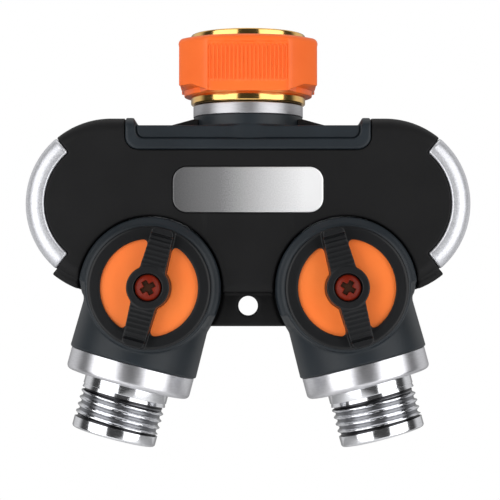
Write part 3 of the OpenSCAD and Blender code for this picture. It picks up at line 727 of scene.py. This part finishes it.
def make_grip():
    """Orange grip: twelve-sided, its sides cut back below, with ribbed panels."""
    segments = 1440
    angle = np.linspace(0, 2 * math.pi, segments, endpoint=False)
    bottom_points = 28
    rows = []
    for a, r in zip(angle, grip_radius(angle)):
        share = min(max((abs(r * math.cos(a)) - 12.6) / 5, 0), 1)
        low, inset = GRIP_BOTTOM + 0.1 + 1.6 * share, 0.12 + (r - 21.05) * share
        shoulder = GRIP_TOP - 0.11 * (r - 18.6)
        corner = [(17.25, GRIP_BOTTOM), (r - inset, GRIP_BOTTOM), (r - inset, low),
                  (r, low + 0.15 + 0.55 * share), (r, shoulder), (18.6, GRIP_TOP),
                  (17.25, GRIP_TOP)]
        rows.append(soften(corner, [0.3, 0.05 + 0.3 * share, 0.03 + 0.1 * share,
                                    0.05 + 0.15 * share, 1.9, 0.2, 0.2], 6))
    rows = np.array(rows)
    # the wall is cut finely between its rounded ends, so that the panels have points to use
    lower, upper = rows[:, :bottom_points], rows[:, bottom_points:]
    share = np.linspace(0, 1, 66)[None, 1:-1, None]
    middle = lower[:, -1:] + (upper[:, :1] - lower[:, -1:]) * share
    rows = np.concatenate([lower, middle, upper], axis=1)
    columns = rows.shape[1]
    radius, height = rows[..., 0], rows[..., 1]
    x, y = radius * np.cos(angle)[:, None], radius * np.sin(angle)[:, None]
    near = np.round(angle / (math.pi / 2)) * (math.pi / 2)
    out = np.stack([np.cos(near), np.sin(near)], axis=1)
    along = -x * out[:, 1, None] + y * out[:, 0, None]
    outside = radius > 18.2
    edge = both(np.abs(along) - 12.5, height + 4.3, 0.5)
    sunk = np.clip(-edge / 0.55, 0, 1)
    rib_zone = np.clip((5.7 - np.abs(height + 11)) / 0.6, 0, 1)
    rib_zone = rib_zone * np.clip((RIBS_HALF_W - np.abs(along)) / 0.3, 0, 1)
    ribs = 0.5 - 0.5 * np.cos(2 * math.pi * along / RIB_PITCH)
    depth = PANEL_DEPTH * sunk * sunk * (3 - 2 * sunk) - RIB_HEIGHT * rib_zone * ribs
    depth = np.where(outside, depth, 0)
    x, y = x - depth * out[:, 0, None], y - depth * out[:, 1, None]
    points = np.stack([x, y, height], axis=2).reshape(-1, 3)
    new_piece("grip_sleeve_skin", points, ring_quads(segments, columns)[:, ::-1], ORANGE,
              "inlet_swivel", ["grip_sleeve"], sharp=50)


# ---------- outlets ----------

def sleeve_field(x, y, z):
    """Pod and outlet sleeve in the valve's own axes."""
    radial = np.hypot(x, z)
    share = np.clip(-y / 24, 0, 1)
    tube = both(radial - 20 - 0.45 * share, between(y, -24, 1), 0.6)
    flat = np.hypot(x, y)
    pod = thick(flat - 19.8, between(z, -20.3, 21.3), 1.0)
    flange = thick(flat - 21.75, between(z, -19.3, 20.6), 1.8)
    slope = (np.abs(z) - 20.6 + 2.7 * np.maximum(-3 - y, 0)) / 2.9
    flange = both(both(flange, slope, 0.8), -(y + 8.4), 1.8)
    solid = either(tube, pod, 0.8)
    solid = either(solid, flange, 1.4)
    solid = without(solid, both(radial - 15.1, y - 40))
    solid = without(solid, both(flat - 8.2, -z))
    angle = np.arctan2(y, x)
    orbit = np.abs(flat - 17.2) - 1.25
    swing = (np.abs(angle - math.pi / 2) - math.pi / 4) * flat - 1.2
    return without(solid, both(both(orbit, swing), 20.1 - z), 0.2)


def make_sleeves():
    """Left and right valve sleeves, from one mesh."""
    points, quads = surface_net(sleeve_field, (-22.5, -24.5, -20.8), (22.5, 22.5, 21.8), 0.38)
    for side in (LEFT, RIGHT):
        name = SIDE_NAME[side] + "_valve_sleeve"
        new_piece(name + "_skin", valve_place(side)(points), quads[:, ::-1], SLATE,
                  "splitter_body", [name])


def make_fittings():
    """Turned collar, neck, helical male thread and end land, with the water way inside."""
    crest, root = 13.45, 12.6
    start, end = -35.3, -44.8
    collar_r = 19.9
    before = soften([(7.2, -9.8), (10.95, -9.8), (10.95, -19.2), (9.2, -19.2), (9.2, -21.8),
                     (10.95, -21.8), (10.95, -24.05), (collar_r, -24.05), (collar_r, -31),
                     (crest, -31), (crest, start + 0.05)],
                    [0, 0.3, 0, 0, 0, 0, 0, 0.3, 1.5, 0.4, 0.15])
    heights = np.linspace(start, end, 150)
    thread = np.stack([np.full_like(heights, crest), heights], axis=1)
    after = soften([(crest, end - 0.05), (crest, -48.2), (9.6, -48.2), (9.6, -32.4), (7.2, -28)],
                   [0.1, 0.8, 0.5, 0, 0])
    profile = np.concatenate([before, thread, after])
    segments = 200
    base, quads = lathe(profile, segments)
    column = np.tile(np.arange(len(profile)), segments)
    cut = (column >= len(before)) & (column < len(before) + len(thread))
    turn = np.repeat(np.arange(segments) / segments, len(profile))
    height = base[:, 2]
    wave = thread_wave(height / PITCH + turn)
    run_out = np.maximum(1 - np.abs(height - start + 0.45) / 0.45,
                         1 - np.abs(height - end - 0.4) / 0.4)
    wave = np.maximum(wave, np.clip(1.6 * run_out, 0, 1))
    edge = np.clip(np.minimum(start - height, height - end) / 0.12, 0, 1)
    depth = np.where(cut, (crest - root) * wave * edge, 0)
    radius = np.hypot(base[:, 0], base[:, 1])
    base[:, :2] *= ((radius - depth) / radius)[:, None]
    for side in (LEFT, RIGHT):
        name = SIDE_NAME[side] + "_outlet_fitting"
        piece = new_piece(name + "_skin", outlet_place(side)(base), quads, TURNED,
                          "splitter_body", [name], sharp=35)
        piece.data.materials.append(COLLAR)
        piece.data.materials.append(RELIEF_PAINTED_SHADE)
        piece.data.materials.append(ROOT_PAINTED_SHADE)
        # slots 2 and 3 paint shade into the run-out grooves and along the thread's roots
        middle = base[quads].mean(axis=1)
        radius, height = np.hypot(middle[:, 0], middle[:, 1]), middle[:, 2]
        relief = (np.abs(height - start + 0.45) < 0.42) | (np.abs(height - end - 0.38) < 0.34)
        low = (radius > 12.3) & (radius < crest - 0.15)
        slot = np.where(low & relief, 2, np.where(low & (radius < root + 0.15), 3, 0))
        slot = np.where(radius > crest + 0.35, 1, slot)
        piece.data.polygons.foreach_set("material_index", slot.astype(np.int32))


# ---------- levers ----------

def lever_half_width(y):
    """Half the width of an arm, which narrows away from the hub."""
    return 4.15 - 0.9 * np.abs(y) / LEVER_REACH


def lever_top(y):
    """Height of the lever's grip at distance y from the hub: shallow steps and an end lip."""
    y = np.abs(y)
    top = np.full_like(y, 30.7)
    for edge in (7.2, 8.6, 10, 11.5, 13, 14.6):
        top = top - 0.24 * np.clip((y - edge) / 0.3 + 0.5, 0, 1)
        top = top + 0.1 * np.clip(1 - np.abs(y - edge + 0.35) / 0.45, 0, 1)
    lip = np.clip((y - 16.3) / 0.4 + 0.5, 0, 1)
    groove = np.clip(1 - np.abs(y - 16.1) / 0.45, 0, 1)
    return top + 0.75 * lip - 0.4 * groove


def knob_field(x, y, z):
    """Ring, hub and two-armed lever in the valve's own axes."""
    flat = np.hypot(x, y)
    half = lever_half_width(y)
    ring = thick(np.abs(flat - 16.95) - 1.85, between(z, 21.45, 24), 0.6)
    slope = 0.03 * (31 - z)
    arm = both(np.abs(x) - half - slope, np.abs(y) - LEVER_REACH - slope, 1.6)
    arm = both(both(arm, z - lever_top(y), 0.3), 23.1 - z)
    hub = both(flat - 6.5 - slope, between(z, 21.45, 31), 0.4)
    web = both(either(np.abs(x) - half - 0.25, flat - 6.75, 0.5), flat - 16.5)
    web = either(web, WINDOW_R - flat, 2.6)
    web = both(both(web, flat - 18), between(z, 23.1, 24))
    solid = either(either(arm, hub, 0.4), web, 0.2)
    solid = either(solid, ring, 0.4)
    solid = without(solid, both(flat - 4.3, 29 - z), 0.3)
    solid = without(solid, both(both(np.abs(x), np.abs(y)) - 2.85, z - 28.1))
    pin = np.hypot(x + 17.2 * math.sqrt(0.5), y - 17.2 * math.sqrt(0.5)) - 1.1
    return either(solid, both(pin, between(z, 20.3, 22)))


def dial_field(x, y, z):
    """Flat orange disc round the hub."""
    flat = np.hypot(x, y)
    return without(both(flat - 15.3, between(z, 21.5, 22.95), 0.2), flat - 6.75)


def make_valves():
    """Each valve's lever, dial and screw, from the same meshes on both sides."""
    knob, knob_quads = surface_net(knob_field, (-19.2, -19.2, 20.1), (19.2, 19.2, 31.2), 0.2)
    dial, dial_quads = surface_net(dial_field, (-15.6, -15.6, 21.3), (15.6, 15.6, 23.8), 0.2)
    head, head_quads = surface_net(screw_head(4.0, 1.75, 2.0, 0.6), (-4.1, -4.1, -0.1),
                                   (4.1, 4.1, 1.9), 0.11)
    turn = np.array([[1, 1, 0], [-1, 1, 0], [0, 0, math.sqrt(2)]]) / math.sqrt(2)
    head = head @ turn + (0, 0, 29.05)
    for side in (LEFT, RIGHT):
        place = valve_place(side)
        body = SIDE_NAME[side] + "_valve"
        for node, points, quads, material in (
            ("lever_knob", knob, knob_quads, KNOB_BLACK),
            ("dial_disc", dial, dial_quads, DIAL_ORANGE_PAINTED_LIGHT),
            ("lever_screw", head, head_quads, RED),
        ):
            name = SIDE_NAME[side] + "_" + node
            piece = new_piece(name + "_skin", place(points), quads, material, body, [name])
            if node == "lever_screw":
                # the faces inside the cross recess get the painted shade
                piece.data.materials.append(RECESS)
                middle = points[quads].mean(axis=1)
                inside = (np.hypot(middle[:, 0], middle[:, 1]) < 2.6) & (middle[:, 2] < 30.05)
                piece.data.polygons.foreach_set("material_index", inside.astype(np.int32))


# ---------- studio, in metres ----------

PART_MIDDLE = Vector((0, 0, -0.065))


def area_light(name, place, size, power, mirrored=True):
    """A softbox aimed at the middle of the part, and not itself in the picture."""
    data = bpy.data.lights.new(name, "AREA")
    data.shape, data.size, data.size_y = "RECTANGLE", size[0], size[1]
    data.energy = power
    light = bpy.data.objects.new(name, data)
    light.location = place
    aim = PART_MIDDLE - light.location
    light.rotation_euler = aim.to_track_quat("-Z", "Y").to_euler()
    light.visible_camera = False
    light.visible_glossy = mirrored
    bpy.context.scene.collection.objects.link(light)


def make_world():
    """A dim room in front of the part and a pale wall behind it."""
    world = bpy.data.worlds.new("studio")
    bpy.context.scene.world = world
    world.use_nodes = True
    tree = world.node_tree
    room = tree.nodes["Background"]
    place = tree.nodes.new("ShaderNodeTexCoord")
    parts = tree.nodes.new("ShaderNodeSeparateXYZ")
    span = tree.nodes.new("ShaderNodeValToRGB")
    span.color_ramp.interpolation = "EASE"
    stops = ((0.54, 0.06), (0.72, 0.75), (0.86, 0.7), (0.97, 0.3))
    marks = span.color_ramp.elements
    marks[0].position, marks[1].position = stops[0][0], stops[-1][0]
    for position, _ in stops[1:-1]:
        marks.new(position)
    for mark, (_, value) in zip(marks, stops):
        mark.color = (value, value, value, 1)
    halfway = tree.nodes.new("ShaderNodeMapRange")
    halfway.inputs["From Min"].default_value = -1
    backdrop = tree.nodes.new("ShaderNodeBackground")
    seen = tree.nodes.new("ShaderNodeLightPath")
    mix = tree.nodes.new("ShaderNodeMixShader")
    join = tree.links.new
    join(place.outputs["Generated"], parts.inputs[0])
    join(parts.outputs["Y"], halfway.inputs["Value"])
    join(halfway.outputs["Result"], span.inputs["Fac"])
    join(span.outputs["Color"], room.inputs["Color"])
    backdrop.inputs["Color"].default_value = (1, 1, 1, 1)
    join(seen.outputs["Is Camera Ray"], mix.inputs["Fac"])
    join(room.outputs[0], mix.inputs[1])
    join(backdrop.outputs[0], mix.inputs[2])
    join(mix.outputs[0], tree.nodes["World Output"].inputs["Surface"])


def make_floor():
    """A plain pale floor, well below the part."""
    floor = Nodes("pale_floor")
    floor.colours(floor.noise(8, 2), (0.9, 0.9, 0.9), (0.93, 0.93, 0.93))
    floor.shader.inputs["Roughness"].default_value = 0.9
    grid = bmesh.new()
    bmesh.ops.create_circle(grid, cap_ends=True, segments=96, radius=1.1)
    mesh = bpy.data.meshes.new("floor")
    grid.to_mesh(mesh)
    grid.free()
    mesh.materials.append(floor.material)
    plane = bpy.data.objects.new("floor", mesh)
    plane.location = (0, 0, -0.46)
    bpy.context.scene.collection.objects.link(plane)


def make_studio():
    """A softbox on each side and one above, and a fill that no metal mirrors."""
    bpy.context.scene.view_settings.view_transform = "Standard"
    make_world()
    make_floor()
    area_light("left_softbox", (-0.50, -0.46, 0.0), (0.66, 0.94), 4.0)
    area_light("right_softbox", (0.51, -0.45, 0.0), (0.66, 0.94), 4.0)
    area_light("top_softbox", (0, 0.05, 0.6), (0.8, 0.5), 1.2)
    area_light("front_fill", (-0.25, -0.9, -0.05), (0.5, 0.5), 1.8, mirrored=False)


def make_camera():
    """A long lens, nearly level, in front of the levers."""
    data = bpy.data.cameras.new("camera")
    data.sensor_width, data.lens = 36, 133.1
    data.clip_start, data.clip_end = 0.01, 50
    camera = bpy.data.objects.new("camera", data)
    camera.location = (0.0006, -0.585, -0.08535)
    camera.rotation_euler = (math.radians(90 + 1.7), 0, 0)
    bpy.context.scene.collection.objects.link(camera)
    bpy.context.scene.camera = camera


dress_kept_nodes()
make_shells()
make_trims()
make_saddle()
make_name_plate()
make_housing_screws()
make_collar_ring()
make_nut()
make_grip()
make_sleeves()
make_fittings()
make_valves()
make_studio()
make_camera()
